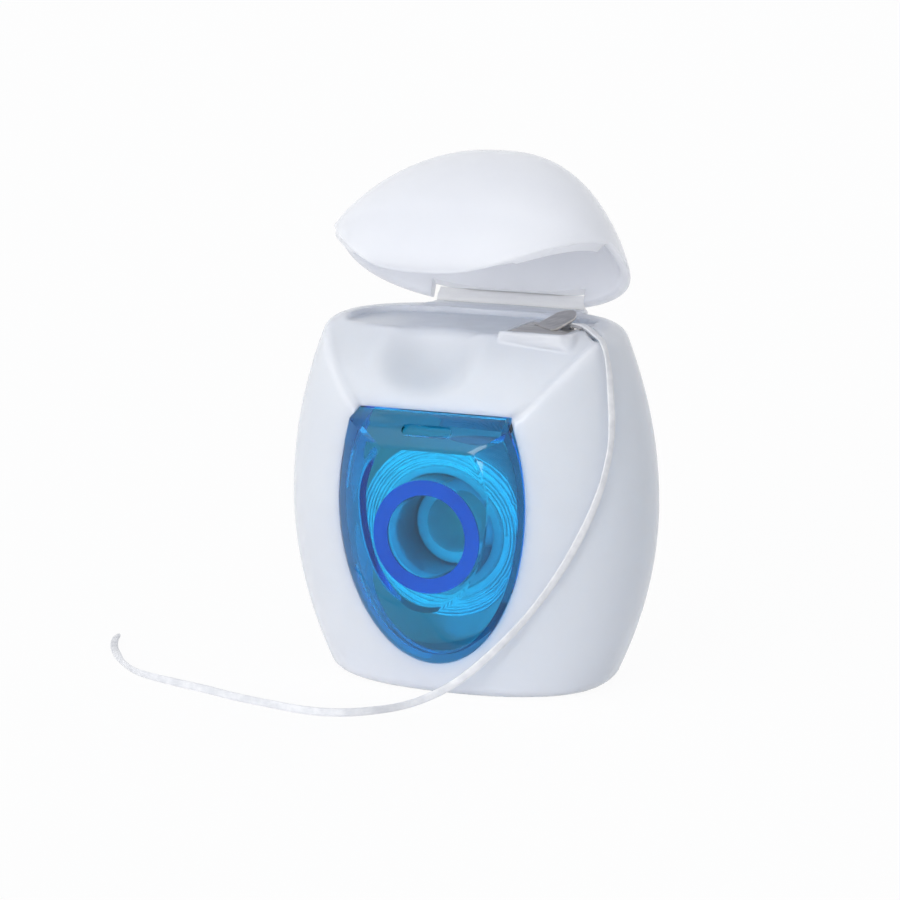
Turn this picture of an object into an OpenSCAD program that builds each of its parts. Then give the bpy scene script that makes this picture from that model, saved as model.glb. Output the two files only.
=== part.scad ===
// Pocket dental floss dispenser, photographed with its lid open
// and a length of floss drawn out past the cutter and laid on the table.
// The front faces -Y, +X is the viewer's right, and the base stands on z = 0.

/* [Container] */
// Width at the belly
body_w = 52; // [48:0.5:58]
// Depth at the belly
body_d = 33; // [31:0.5:37]
// Height from the base to the rim
rim_z = 50; // [49:0.25:53]
// Height of the belly
belly_z = 25; // [23:0.5:27]
// Width at the base
base_w = 39.4; // [36:0.2:44]
// Depth at the base
base_d = 26; // [24:0.2:29]
// Width at the rim
rim_w = 41.2; // [40:0.2:44]
// Depth at the rim
rim_d = 26.4; // [25:0.2:28]
// Squareness of the plan outline, 2 for an ellipse
plan_power = 2.3; // [2.1:0.05:2.6]
// Wall thickness
wall = 1.5; // [1.2:0.1:1.8]
// Radius of the edge round the base
base_edge_r = 1.75; // [1:0.25:2.5]
// Radius of the shoulder round the rim
rim_edge_r = 2; // [1:0.25:2.5]

/* [Lid seat] */
// Height of the foot of the front slope
slope_z = 39.15; // [38.5:0.05:40]
// Distance of the slope's foot in front of the centre
slope_y = 13.1; // [12.8:0.1:13.6]
// Distance of the slope's crest in front of the centre
crest_y = 7.4; // [6.5:0.1:8]
// How far the crest falls back at its ends
crest_sweep = 4.85; // [3:0.1:5]
// Width of the slope at its foot
slope_foot_w = 22.4; // [21.5:0.1:24]
// Width of the slope at its crest
slope_crest_w = 41.4; // [41:0.1:42]
// Depth of the recess in the top
recess_depth = 0.8; // [0.4:0.1:1.2]
// Width of the recess in the top
recess_w = 34.4; // [32:0.1:36]
// Distance of the recess's back edge behind the centre
recess_back = 7.2; // [6:0.1:8.5]
// Radius of the finger scoop
scoop_r = 11; // [9:0.5:13]
// Depth of the finger scoop below the slope
scoop_depth = 2.8; // [1.5:0.1:3.4]
// Sideways place of the finger scoop
scoop_x = -2.7; // [-4:0.1:-1]
// Height of the middle of the finger scoop
scoop_z = 46.5; // [45:0.1:48]

/* [Lid] */
// Angle of the lid from closed in the photographed pose
lid_open = 40; // [20:1:60]
// Height of the closed lid's top
lid_top_z = 66.5; // [63:0.5:70]
// Height where the lid's sides turn in to its top
lid_turn_z = 48; // [46:0.5:50]
// Lowest point of the closed lid's front lip
lip_z = 36.3; // [36:0.1:37.2]
// Width between the lid's two tips
lid_tip_w = 40.8; // [39:0.1:41.5]
// How far the lid's sides stand out past the container
lid_side_out = 0.4; // [0.1:0.05:0.8]
// How far the lid's front and back stand out past the container
lid_front_out = 0.8; // [0.5:0.05:1.2]
// Wall thickness of the lid
lid_wall = 1.4; // [1.1:0.1:1.7]
// Clearance round what the closed lid covers
lid_gap = 0.15; // [0.1:0.05:0.3]
// Distance of the hinge line behind the centre
hinge_y = 12.2; // [11.8:0.1:12.6]
// Height of the hinge line above the rim
hinge_rise = 0.9; // [0.7:0.1:1.2]
// Width of the hinge film
film_w = 22.3; // [16:0.1:24]
// Thickness of the hinge film
film_t = 0.45; // [0.3:0.05:0.6]

/* [Window cover] */
// Width of the window at its widest
window_w = 27.3; // [25:0.1:29]
// Height of the window's widest place
window_mid_z = 26.7; // [25:0.1:28]
// Height of the window's lowest point
window_foot_z = 4.7; // [4:0.1:6]
// Width of the cover's ledge along its front edge
ledge_w = 23.4; // [22:0.1:25]
// Height of the ledge's front edge
ledge_z = 37.75; // [37.4:0.05:38.1]
// Distance of the ledge's front edge in front of the centre
ledge_y = 15.6; // [15.2:0.1:16]
// Width of the flat face
face_w = 19.1; // [17:0.1:21]
// Height of the flat face's widest place
face_mid_z = 27.2; // [26:0.1:28.5]
// Height of the flat face's lowest point
face_foot_z = 12.3; // [11:0.1:14]
// Height of the flat face's top edge
face_top_z = 35; // [34:0.1:35.6]
// Width of the flat face's top edge
face_top_w = 14.5; // [13:0.1:16]
// Distance of the flat face in front of the centre
face_y = 17.35; // [17.1:0.05:17.8]
// Thickness of the cover
cover_t = 1.5; // [1.2:0.1:1.7]
// How far the cover's edge stands out of the container
cover_out = 0.15; // [0.05:0.05:0.4]
// Gap round the cover in its opening
cover_gap = 0.08; // [0.05:0.01:0.15]
// Width of the catch that holds the lid's lip
catch_w = 7.2; // [5:0.1:9]
// Height of the catch
catch_h = 1.3; // [1:0.1:1.4]
// Depth of the catch
catch_depth = 0.35; // [0.2:0.05:0.5]

/* [Spool] */
// Height of the spool's axis
axis_z = 22.6; // [21.5:0.1:23.5]
// Outer radius of the cover's hub tube
hub_r = 7.75; // [7.5:0.05:8]
// Bore radius of the cover's hub tube
hub_bore_r = 5.7; // [5.4:0.05:6]
// Running clearance of the bobbin on the hub tube
run_gap = 0.08; // [0.04:0.01:0.1]
// Wall thickness of the bobbin
bobbin_t = 1.1; // [0.8:0.1:1.3]
// Length of the bobbin
bobbin_len = 22; // [20:0.5:22]
// Distance of the bobbin's front end in front of the centre
bobbin_front = 11.2; // [10.8:0.1:11.3]
// Radius of the wound floss without its outer turns
pack_r = 11.7; // [11:0.1:12]
// Thickness of the strand in the outer turns
turn_d = 0.6; // [0.4:0.05:0.65]
// Turns round the outside
turns_round = 13; // [8:1:13]
// Turns on the front face
turns_face = 2; // [1:1:2]

/* [Cutter] */
// Width of the steel plate
plate_w = 8.2; // [7.6:0.1:8.6]
// Length of the steel plate from front to back
plate_l = 8.8; // [8.4:0.1:9.2]
// Thickness of the steel
plate_t = 0.35; // [0.25:0.05:0.5]
// Sideways place of the plate's middle
plate_x = 12; // [11.8:0.1:12.3]
// Distance of the plate's middle in front of the centre
plate_y = 2.9; // [2.7:0.1:3.1]
// Width of the strip of plastic round the plate
boss_margin = 1; // [0.8:0.1:1.2]
// Height of the cutter's boss above the floor of the recess
boss_rise = 0.6; // [0.5:0.1:0.8]
// Turn of the cutting tab's base line
tab_turn = 46; // [44:1:48]
// Rise of the cutting tab
tab_rise = 25; // [22:1:28]
// Length of the cutting tab
tab_l = 5.1; // [4.8:0.1:5.2]
// Width of the cutting tab
tab_w = 5.6; // [5:0.1:5.8]
// Number of cutting teeth
teeth = 5; // [3:1:7]
// Radius of the hole that the floss comes up through
exit_r = 0.95; // [0.8:0.05:1]

/* [Floss] */
// Diameter of the free strand
strand_d = 1.1; // [0.9:0.05:1.15]

/* [Hidden] */
plastic_white = [0.93, 0.94, 0.96];
window_blue = [0, 0.5, 0.85, 0.6];
floss_white = [0.97, 0.97, 0.95];
steel_grey = [0.55, 0.55, 0.56];
far = 60;
eps = 0.01;
plan_steps = 60;
hinge_z = rim_z + hinge_rise;
recess_z = rim_z - recess_depth;
// The slope's cut runs on a little below its foot, inside the window's opening.
foot_drop = 0.3;
bevel_tilt = 39;
// The wall behind the slope follows it at these shares of its thickness.
slant_back = 1.1;
slant_down = 0.4;

// Half of a width that swells from its end to the belly along a parabola.
function swell(z, mid, low, high) = z < belly_z
    ? (mid - (mid - low) * pow((belly_z - z) / belly_z, 2)) / 2
    : (mid - (mid - high) * pow((z - belly_z) / (rim_z - belly_z), 2)) / 2;
function half_w(z) = swell(z, body_w, base_w, rim_w);
function half_d(z) = swell(z, body_d, base_d, rim_d);
// Distance of the container's skin in front of the centre.
function skin_y(x, z) =
    half_d(z) * pow(max(0, 1 - pow(abs(x) / half_w(z), plan_power)), 1 / plan_power);

// One closed ring of the plan outline at height z.
function plan_ring(a, b, z, p = plan_power, shift = 0) = [
    for (i = [0:plan_steps - 1])
        let (t = 360 * i / plan_steps, c = cos(t), s = sin(t))
            [a * sign(c) * pow(abs(c), 2 / p), shift + b * sign(s) * pow(abs(s), 2 / p), z]
];

// Closed solid through a list of rings that have the same number of points.
module loft(rings) {
    n = len(rings[0]);
    last = (len(rings) - 1) * n;
    polyhedron(
        points = [for (r = rings) each r],
        faces = concat(
            [[for (i = [0:n - 1]) i]],
            [for (k = [0:len(rings) - 2], i = [0:n - 1])
                [k * n + i, (k + 1) * n + i, (k + 1) * n + (i + 1) % n, k * n + (i + 1) % n]],
            [[for (i = [n - 1:-1:0]) last + i]]
        ),
        convexity = 6
    );
}

// Barrel of the container, drawn in from its skin on every side.
module barrel(inset, floor_z, top_z, low_r, top_r) {
    steps = 4;
    low = [for (i = [0:steps]) let (t = 90 * i / steps)
        [floor_z + low_r * (1 - cos(t)), low_r * (1 - sin(t))]];
    mid = [for (i = [1:8]) [floor_z + low_r + (top_z - top_r - floor_z - low_r) * i / 9, 0]];
    top = [for (i = [0:steps]) let (t = 90 * i / steps)
        [top_z - top_r * (1 - sin(t)), top_r * (1 - cos(t))]];
    loft([for (s = concat(low, mid, top))
        plan_ring(half_w(s[0]) - inset - s[1], half_d(s[0]) - inset - s[1], s[0])]);
}

// Half width of the slope at height z, seen from the front.
function slope_half_w(z) = let (t = (z - slope_z) / (rim_z - slope_z))
    (slope_foot_w + (slope_crest_w - slope_foot_w) * pow(max(0, t), 0.82)) / 2;
// Distance of the slope in front of the centre.
function slope_face_y(x, z) = let (
    t = (z - slope_z) / (rim_z - slope_z),
    crest = crest_y - crest_sweep * pow(x / (slope_crest_w / 2), 2)
) slope_y - (slope_y - crest) * pow(max(0, t), 1.5);

// Everything in front of the convex slope, moved back by grow.
module before_slope(grow) {
    xs = [for (i = [-10:10]) (slope_crest_w / 2 + 2) * i / 10];
    top = rim_z + 4;
    low = slope_z - foot_drop - grow;
    loft([for (x = xs) concat(
        [[x, -far, low], [x, -slope_y + grow, low]],
        [for (i = [1:8]) let (z = slope_z + (rim_z - slope_z) * i / 8)
            [x, -slope_face_y(x, z) + slant_back * grow, z - slant_down * grow * i / 8]],
        [[x, -slope_face_y(x, rim_z) + slant_back * grow, top], [x, -far, top]]
    )]);
}

// Front view of the slope, widened by grow.
module slope_view(grow) {
    zs = [for (i = [0:8]) slope_z + (rim_z - slope_z) * i / 8];
    top = rim_z + 4;
    low = slope_z - foot_drop - grow;
    rotate([90, 0, 0]) linear_extrude(far) polygon(concat(
        [[-slope_half_w(slope_z) - grow, low], [slope_half_w(slope_z) + grow, low]],
        [for (z = zs) [slope_half_w(z) + grow, z]],
        [[slope_crest_w / 2 + grow, top], [-slope_crest_w / 2 - grow, top]],
        [for (i = [8:-1:0]) [-slope_half_w(zs[i]) - grow, zs[i]]]
    ));
}

// Recess in the top, open to the slope in front.
module top_recess(grow) {
    translate([0, 0, recess_z - grow]) linear_extrude(far) union() {
        intersection() {
            polygon([for (q = plan_ring(recess_w / 2 + grow, recess_back + grow, 0, 2.6)) [q[0], q[1]]]);
            translate([-far, 0]) square([2 * far, far]);
        }
        translate([-recess_w / 2 - grow, -crest_y - 1]) square([recess_w + 2 * grow, crest_y + 1 + eps]);
    }
}

// Ball that leaves the finger scoop in the slope.
module scoop_ball(grow) {
    tilt = atan2(slope_y - crest_y, rim_z - slope_z);
    lift = scoop_r - scoop_depth;
    translate([
        scoop_x,
        -slope_face_y(scoop_x, scoop_z) - lift * cos(tilt),
        scoop_z + lift * sin(tilt)
    ]) sphere(r = scoop_r + grow, $fn = 64);
}

// What the lid's seat takes away from the barrel.
module seat_cut(grow) {
    intersection() {
        before_slope(grow);
        slope_view(grow);
    }
    top_recess(grow);
    scoop_ball(grow);
}

// Outline of the window in front view: up the right side, over and down the left.
function window_outline(w, top_w, foot_z, mid_z, top_z, inset = 0) = let (
    a = w / 2 - inset, b = mid_z - foot_z - inset, t = top_w / 2 - inset,
    h = top_z - inset - mid_z
) concat(
    [for (i = [0:16]) let (v = 180 + 180 * i / 16) [a * cos(v), mid_z + b * sin(v)]],
    [for (i = [1:5]) [a - (a - t) * pow(i / 5, 2), mid_z + h * i / 5]],
    [for (i = [1:3]) [t - 2 * t * i / 4, mid_z + h]],
    [for (i = [5:-1:1]) [-(a - (a - t) * pow(i / 5, 2)), mid_z + h * i / 5]]
);

// Outline on the container's skin, as points with their distance in front.
function rim_ring(inset, back) = [
    for (q = window_outline(window_w, ledge_w, window_foot_z, window_mid_z, ledge_z, inset))
        let (
            rise = max(0, (q[1] - window_mid_z) / (ledge_z - inset - window_mid_z)),
            skin = skin_y(q[0], q[1]) + cover_out
        ) [q[0], -(skin + (ledge_y - skin) * pow(rise, 3)) + back, q[1]]
];
// The same outline in a flat plane, with its top edge at the slope's foot.
function back_ring(inset, y, gap = 0) = [
    for (q = window_outline(window_w, slope_foot_w, window_foot_z, window_mid_z, slope_z - gap, inset))
        [q[0], -y, q[1]]
];
function face_ring(inset, y) = [
    for (q = window_outline(face_w, face_top_w, face_foot_z, face_mid_z, face_top_z, inset))
        [q[0], -y, q[1]]
];
// Ring part of the way from one ring to another, pushed out a little.
function between(a, b, t, bulge) = [
    for (i = [0:len(a) - 1]) a[i] + (b[i] - a[i]) * t + [0, -bulge, 0]
];

// Block of the window cover without its hollow.
module cover_block() {
    skin = rim_ring(0, 0);
    face = face_ring(0, face_y);
    loft([
        back_ring(0, slope_y - cover_t, cover_gap),
        back_ring(0, slope_y, cover_gap),
        skin,
        between(skin, face, 0.5, 0.25),
        face
    ]);
}
module cover_hollow() {
    skin = rim_ring(cover_t, cover_t);
    face = face_ring(cover_t / 2, face_y - cover_t);
    loft([
        back_ring(cover_t, slope_y - cover_t - eps - 1, cover_gap),
        back_ring(cover_t, slope_y - cover_t, cover_gap),
        skin,
        face
    ]);
}

// Opening in the container's front that the cover fits.
module window_opening() {
    translate([0, -slope_y / 2, 0]) rotate([90, 0, 0]) linear_extrude(far) polygon(window_outline(
        window_w, slope_foot_w, window_foot_z, window_mid_z, slope_z - cover_gap, -cover_gap));
}

// Steel plate's outline, grown by gap.
module plate_outline(gap) {
    translate([plate_x, -plate_y])
        square([plate_w + 2 * gap, plate_l + 2 * gap], center = true);
}
boss_z = recess_z + boss_rise;
plate_z = boss_z - 0.1;
plate_gap = 0.05;
tab_base = [plate_x - 0.9, -plate_y + 0.2];
exit_at = tab_base + [cos(tab_turn), sin(tab_turn)] * tab_l * 0.6 + [0.25, -0.45];

// Boss round the cutter, cut back underneath so that it runs into the slope.
module cutter_boss() {
    front = plate_y + plate_l / 2 + boss_margin;
    back = front - plate_l - 2 * boss_margin;
    w = plate_w + 2 * boss_margin;
    intersection() {
        translate([plate_x - w / 2, 0, 0]) rotate([90, 0, 90]) linear_extrude(w) polygon([
            [-back, boss_z], [-front, boss_z], [-front, boss_z - boss_face],
            [-front + boss_root, boss_z - boss_face - boss_root], [-back, boss_z - boss_face - boss_root]
        ]);
        translate([plate_x, 0, rim_z - far / 2]) linear_extrude(far) polygon([
            [-w, far], [-w, -front], [w / 2 - boss_corner, -front], [w / 2, -front + boss_corner], [w / 2, far]
        ]);
    }
}
boss_face = 1.4;
boss_root = 3.6;
boss_corner = 1.2;

// Spigot of the back wall that the hub tube slides over.
spigot_r = hub_bore_r - 0.2;
spigot_front = 8.9;
module spigot() {
    reach = half_d(axis_z) - wall / 2;
    translate([0, reach, axis_z]) rotate([90, 0, 0])
        cylinder(h = reach + spigot_front, r = spigot_r, $fn = 64);
}
module spigot_core() {
    reach = half_d(axis_z);
    translate([0, reach + 1, axis_z]) rotate([90, 0, 0])
        cylinder(h = reach + 1 + spigot_front - wall, r = spigot_r - wall, $fn = 64);
}

// Land at the back of the rim that carries the hinge film.
module hinge_land() {
    back = hinge_y + 0.5;
    rotate([90, 0, 90]) translate([0, 0, -film_w / 2 - 0.4]) linear_extrude(film_w + 0.8) polygon([
        [recess_back + 1.5, rim_z], [recess_back + 1.5, rim_z - 3],
        [back - 1.4, rim_z - 3], [back, rim_z - 0.8], [back, rim_z]
    ]);
}

// Groove in the right end of the slope that the floss runs through.
module floss_groove() {
    translate([rim_w / 2 - 1.3, -3.9, rim_z - 0.65]) rotate([90, 0, 54])
        linear_extrude(8, center = true) hull() {
            circle(r = strand_d / 2 + 0.25, $fn = 24);
            translate([0, 3]) circle(r = strand_d / 2 + 0.25, $fn = 24);
        }
}

module container_shell() color(plastic_white) difference() {
    union() {
        difference() {
            barrel(0, 0, rim_z, base_edge_r, rim_edge_r);
            difference() {
                barrel(wall, wall, rim_z - wall, base_edge_r, 0.5);
                seat_cut(wall);
                spigot();
            }
            seat_cut(0);
        }
        cutter_boss();
        hinge_land();
    }
    window_opening();
    spigot_core();
    translate([0, 0, plate_z - plate_t]) linear_extrude(far) plate_outline(plate_gap);
    translate([exit_at[0], exit_at[1], rim_z - 8]) cylinder(h = far, r = exit_r, $fn = 32);
    floss_groove();
}

// Lid, drawn closed in the container's frame.
lid_profile_power = 1.3;
lid_crown_power = 2.55;
lid_shift = 1.1;
module dome(inset) {
    top = lid_top_z - inset * 1.05;
    low = [for (i = [0:3]) lip_z - 2 + (lid_turn_z - lip_z + 2) * i / 3];
    high = [for (i = [1:12]) let (t = sin(90 * i / 12.4)) lid_turn_z + (top - lid_turn_z) * t];
    loft([for (z = concat(low, high)) lid_ring_in(z, inset, top)]);
}
function lid_ring_in(z, inset, top) = let (
    u = max(0, (z - lid_turn_z) / (top - lid_turn_z)),
    k = sqrt(max(0, 1 - pow(u, lid_profile_power))),
    zz = min(z, lid_turn_z)
) plan_ring(
    (half_w(zz) + lid_side_out - inset) * k, (half_d(zz) + lid_front_out - inset) * k,
    z, plan_power + (lid_crown_power - plan_power) * u, lid_shift * u * u
);

// Region of the closed lid: over its curved front edge and over the rim behind.
module lid_region() {
    n = 24;
    tip_z = rim_z - 0.05;
    half = lid_tip_w / 2;
    back_from = -5;
    translate([0, back_from + eps, 0]) rotate([90, 0, 0]) linear_extrude(far) polygon(concat(
        [for (i = [-n:n]) let (x = half * i / n) [x, lip_z + (tip_z - lip_z) * pow(abs(x) / half, 1.9)]],
        [[far, tip_z], [far, far + rim_z], [-far, far + rim_z], [-far, tip_z]]
    ));
    translate([-far, back_from, rim_z + lid_gap]) cube([2 * far, far, far]);
}

// Room for the cover's ledge and bevel under the closed lip.
module ledge_room() {
    rotate([90, 0, 90]) translate([0, 0, -far / 2]) linear_extrude(far) polygon([
        [-slope_y + 3, slope_z + lid_gap],
        [-slope_y, slope_z + lid_gap],
        [-ledge_y - lid_gap, ledge_z + lid_gap],
        [-face_y - lid_gap, face_top_z],
        [-face_y, face_top_z - 3],
        [-slope_y + 3, face_top_z - 3]
    ]);
}

// Room for the film at the back of the lid.
film_cut_z = hinge_z + 1.3;
module film_room() {
    translate([-film_w / 2 - 0.4, hinge_y - 4, rim_z - 1])
        cube([film_w + 0.8, 8, film_cut_z - rim_z + 1]);
}

module closed_lid() difference() {
    intersection() {
        dome(0);
        lid_region();
    }
    dome(lid_wall);
    ledge_room();
    film_room();
}

// Turns what is drawn closed to the photographed pose.
module opened() {
    translate([0, hinge_y, hinge_z]) rotate([-lid_open, 0, 0])
        translate([0, -hinge_y, -hinge_z]) children();
}
module lid() color(plastic_white) opened() closed_lid();

// Film between the container's rim and the lid, as a strip along a bent line.
function lid_back(z, inset) = let (
    top = lid_top_z - inset * 1.05, u = (z - lid_turn_z) / (top - lid_turn_z)
) (half_d(lid_turn_z) + lid_front_out - inset) * sqrt(1 - pow(u, lid_profile_power)) + lid_shift * u * u;
function turned(y, z) = [
    hinge_y + (y - hinge_y) * cos(lid_open) + (z - hinge_z) * sin(lid_open),
    hinge_z - (y - hinge_y) * sin(lid_open) + (z - hinge_z) * cos(lid_open)
];
film_ends = [for (side = [-1, 1]) turned(
    (lid_back(film_cut_z, 0) + lid_back(film_cut_z, lid_wall) + side * film_t) / 2,
    film_cut_z) + [-sin(lid_open), -cos(lid_open)] * eps];
film_line = [
    [hinge_y + 0.15, rim_z], [hinge_y + 0.15, rim_z + 0.4], [hinge_y + 0.35, rim_z + 0.8],
    (film_ends[0] + film_ends[1] + 2 * [hinge_y + 0.35, rim_z + 0.8]) / 4 + [0.03, -0.03]
];
function line_side(path, i) = let (
    d = path[min(len(path) - 1, i + 1)] - path[max(0, i - 1)]
) [-d[1], d[0]] / norm(d);
module living_hinge() color(plastic_white)
    rotate([90, 0, 90]) translate([0, 0, -film_w / 2]) linear_extrude(film_w) polygon(concat(
        [[film_line[0][0] - film_t / 2, rim_z]],
        [for (i = [1:3]) film_line[i] + line_side(film_line, i) * film_t / 2],
        film_ends,
        [for (i = [3:-1:1]) film_line[i] - line_side(film_line, i) * film_t / 2],
        [[film_line[0][0] + film_t / 2, rim_z]]
    ));

hub_end = bobbin_len - bobbin_front + 0.4;
module window_cover() color(window_blue) difference() {
    union() {
        difference() {
            cover_block();
            cover_hollow();
        }
        translate([0, hub_end, axis_z]) rotate([90, 0, 0])
            cylinder(h = hub_end + face_y - cover_t / 2, r = hub_r, $fn = 64);
    }
    translate([0, far, axis_z]) rotate([90, 0, 0])
        cylinder(h = far + face_y - cover_t, r = hub_bore_r, $fn = 64);
    catch_slot();
}

// Slot in the bevel that the bead inside the lid's lip snaps into.
module catch_slot() {
    half = (catch_w - catch_h) / 2;
    translate([0, -ledge_y - 0.56, ledge_z - 0.69]) rotate([90 - bevel_tilt, 0, 0])
        translate([0, 0, -catch_depth]) linear_extrude(3) union() {
            square([2 * half, catch_h], center = true);
            for (side = [-1, 1]) translate([side * half, 0]) circle(d = catch_h, $fn = 24);
        }
}

bobbin_bore_r = hub_r + run_gap;
bobbin_r = bobbin_bore_r + bobbin_t;
module spool_ring(r, bore, front, length) {
    translate([0, -front + length, axis_z]) rotate([90, 0, 0]) difference() {
        cylinder(h = length, r = r, $fn = 64);
        translate([0, 0, -1]) cylinder(h = length + 2, r = bore, $fn = 64);
    }
}
module bobbin_core() color(plastic_white)
    spool_ring(bobbin_r, bobbin_bore_r, bobbin_front, bobbin_len);
module floss_pack() color(floss_white)
    spool_ring(pack_r, bobbin_r, bobbin_front - 0.5, bobbin_len - 1);

// Outer turns: a spiral on the front face that runs on as a helix.
turn_steps = 24;
turn_r = (pack_r + turn_d / 2) / cos(180 / turn_steps) + 0.02;
face_turn_y = -(bobbin_front - 0.5) - turn_d / 2 - 0.02;
face_pitch = (turn_r - bobbin_r - turn_d / 2 - 0.1) / turns_face;
helix_len = bobbin_len - 1;
helix_pitch = (helix_len - turn_d) / turns_round;
function winding_point(i) = let (
    t = i / turn_steps - turns_face, a = 360 * i / turn_steps,
    r = t < 0 ? turn_r + t * face_pitch : turn_r,
    y = t < 0 ? face_turn_y : face_turn_y + (turn_d + 0.04) * min(1, t * 6) + helix_pitch * t
) [r * cos(a), y, axis_z + r * sin(a)];
winding_last = turn_steps * (turns_face + turns_round - 1);
winding_path = [for (i = [0:winding_last]) winding_point(i)];
// Least gap between one turn and the others, from the points of the path.
winding_gap = min([
    for (i = [0:winding_last - turn_steps / 2], j = [i + turn_steps / 2:winding_last])
        norm(winding_path[i] - winding_path[j])
]) - turn_d;
echo(winding_gap = winding_gap);

// Round tube along a list of points.
function unit(v) = v / norm(v);
function tube_ring(p, dir, r, sides, side_dir) = let (
    u = unit(cross(dir, side_dir)), v = cross(u, dir)
) [for (k = [0:sides - 1]) let (a = -360 * (k + 0.5) / sides) p + r * (u * cos(a) + v * sin(a))];
module tube(path, r, sides, side_dirs) {
    n = len(path);
    loft([for (i = [0:n - 1])
        tube_ring(path[i], unit(path[min(n - 1, i + 1)] - path[max(0, i - 1)]), r, sides, side_dirs(i))]);
}

module floss_winding() color(floss_white)
    tube(winding_path, turn_d / 2, 6, function (i) [0, 1, 0]);

// Route of the free floss: under the tab, over the rim, down and along the table.
floss_route = [
    [13.5, -1, 48.6], [13.6, -1.05, 49.3], [14.15, -1.25, 50.1], [15.2, -1.75, 50.35], [16.7, -2.4, 50.4],
    [18, -3, 50], [19.3, -3.85, 49.4], [20.5, -4.75, 48.85], [21.35, -5.5, 47.7], [21.9, -6, 46.2],
    [22.4, -6.5, 44], [22.9, -7.3, 41.5], [23.3, -8, 39], [23.5, -8.7, 36], [23.3, -9.6, 33],
    [22.8, -10.5, 30], [21.8, -11.6, 26.5], [20.4, -12.7, 23], [18.7, -13.7, 19.5], [16.6, -14.6, 16],
    [14.3, -15.3, 12.8], [12, -16.1, 10], [9.6, -17, 7.4], [7.2, -17.9, 5.1], [4.8, -18.8, 3.2],
    [2.4, -20, 1.8], [0.2, -21.5, 0.9], [-1.6, -23.6, 0.6], [-3.6, -26.1, 0.6], [-6.2, -28.2, 0.6],
    [-9.4, -29.3, 0.6], [-13, -29.3, 0.6], [-16.8, -28.6, 0.6], [-20.6, -27.8, 0.6], [-24.4, -26.8, 0.6],
    [-28.2, -25.5, 0.6], [-32, -24.4, 0.6], [-35.8, -23.3, 0.6], [-39.2, -22.2, 0.6], [-42.4, -20.6, 0.6],
    [-45.4, -18, 0.6], [-48.2, -14.8, 0.6], [-50.9, -11.2, 0.6], [-53.2, -7.2, 0.6], [-54.8, -3.2, 0.6]
];
module floss_tail() color(floss_white)
    tube(floss_route, strand_d / 2, 8, function (i) i < 3 ? [1, 0.5, 0] : [0, 0, 1]);

// Strand from the outer turns up to the exit hole.
module floss_lead() color(floss_white) {
    top = floss_route[0];
    foot = [pack_r + 2 * turn_d + 0.4 + strand_d / 2, 0, axis_z];
    tube([foot, foot + [0, 0, 6], (foot + top) / 2 + [0.1, 0, 0], top - [0, 0, 4], top],
        strand_d / 2, 8, function (i) [0, 1, 0]);
}

module steel_tab() {
    translate([tab_base[0], tab_base[1], plate_z - plate_t]) rotate([0, 0, tab_turn - 90])
        rotate([tab_rise, 0, 0]) linear_extrude(plate_t) union() {
            translate([-tab_w / 2, 0]) square([tab_w, tab_l - tab_w / 3]);
            intersection() {
                translate([-tab_w / 2, 0]) square([tab_w, tab_l]);
                translate([0, tab_l - tab_w / 1.6]) circle(r = tab_w / 1.6, $fn = 48);
            }
        }
}
module cutter_plate() color(steel_grey) {
    difference() {
        translate([0, 0, plate_z - plate_t]) linear_extrude(plate_t) plate_outline(0);
        translate([tab_base[0], tab_base[1], 0]) rotate([0, 0, tab_turn - 90])
            translate([-tab_w / 2 - 0.1, 0.25, plate_z - 1]) linear_extrude(3) union() {
                square([tab_w + 0.2, tab_l - 1.6]);
                for (i = [0:teeth - 1])
                    translate([tab_w * (i + 0.5) / teeth, tab_l - 1.6 - eps])
                        polygon([[-0.35, 0], [0.35, 0], [0, 0.5]]);
            }
    }
    steel_tab();
}

container_shell();
lid();
living_hinge();
window_cover();
bobbin_core();
floss_pack();
floss_winding();
floss_lead();
floss_tail();
cutter_plate();
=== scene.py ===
import math

import bpy
import numpy as np
from mathutils import Matrix, Vector


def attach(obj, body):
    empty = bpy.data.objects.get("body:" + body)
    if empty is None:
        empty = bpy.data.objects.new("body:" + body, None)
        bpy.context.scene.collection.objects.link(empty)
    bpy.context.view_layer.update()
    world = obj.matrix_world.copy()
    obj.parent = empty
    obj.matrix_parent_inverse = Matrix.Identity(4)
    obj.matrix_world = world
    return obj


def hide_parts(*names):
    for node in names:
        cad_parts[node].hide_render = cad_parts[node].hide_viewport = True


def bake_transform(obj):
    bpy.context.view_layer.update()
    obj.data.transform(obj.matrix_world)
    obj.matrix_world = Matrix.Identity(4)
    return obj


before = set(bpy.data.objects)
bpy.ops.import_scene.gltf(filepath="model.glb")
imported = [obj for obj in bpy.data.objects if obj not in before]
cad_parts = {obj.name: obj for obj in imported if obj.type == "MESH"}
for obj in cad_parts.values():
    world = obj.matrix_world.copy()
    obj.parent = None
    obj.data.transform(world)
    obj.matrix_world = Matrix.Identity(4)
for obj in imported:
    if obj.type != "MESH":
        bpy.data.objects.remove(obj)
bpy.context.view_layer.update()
scene = bpy.context.scene
scene.view_settings.view_transform = "Standard"
MM = 0.001
NEAR_ZERO = 1e-9

# Camera, solved from the photo.
AZIMUTH, ELEVATION = math.radians(24.06), math.radians(11.2)
TARGET = Vector((-3.75, 0, 31.24)) * MM
DISTANCE = 0.495
FOCAL_LENGTH, SENSOR_WIDTH = 143.52, 36


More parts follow.
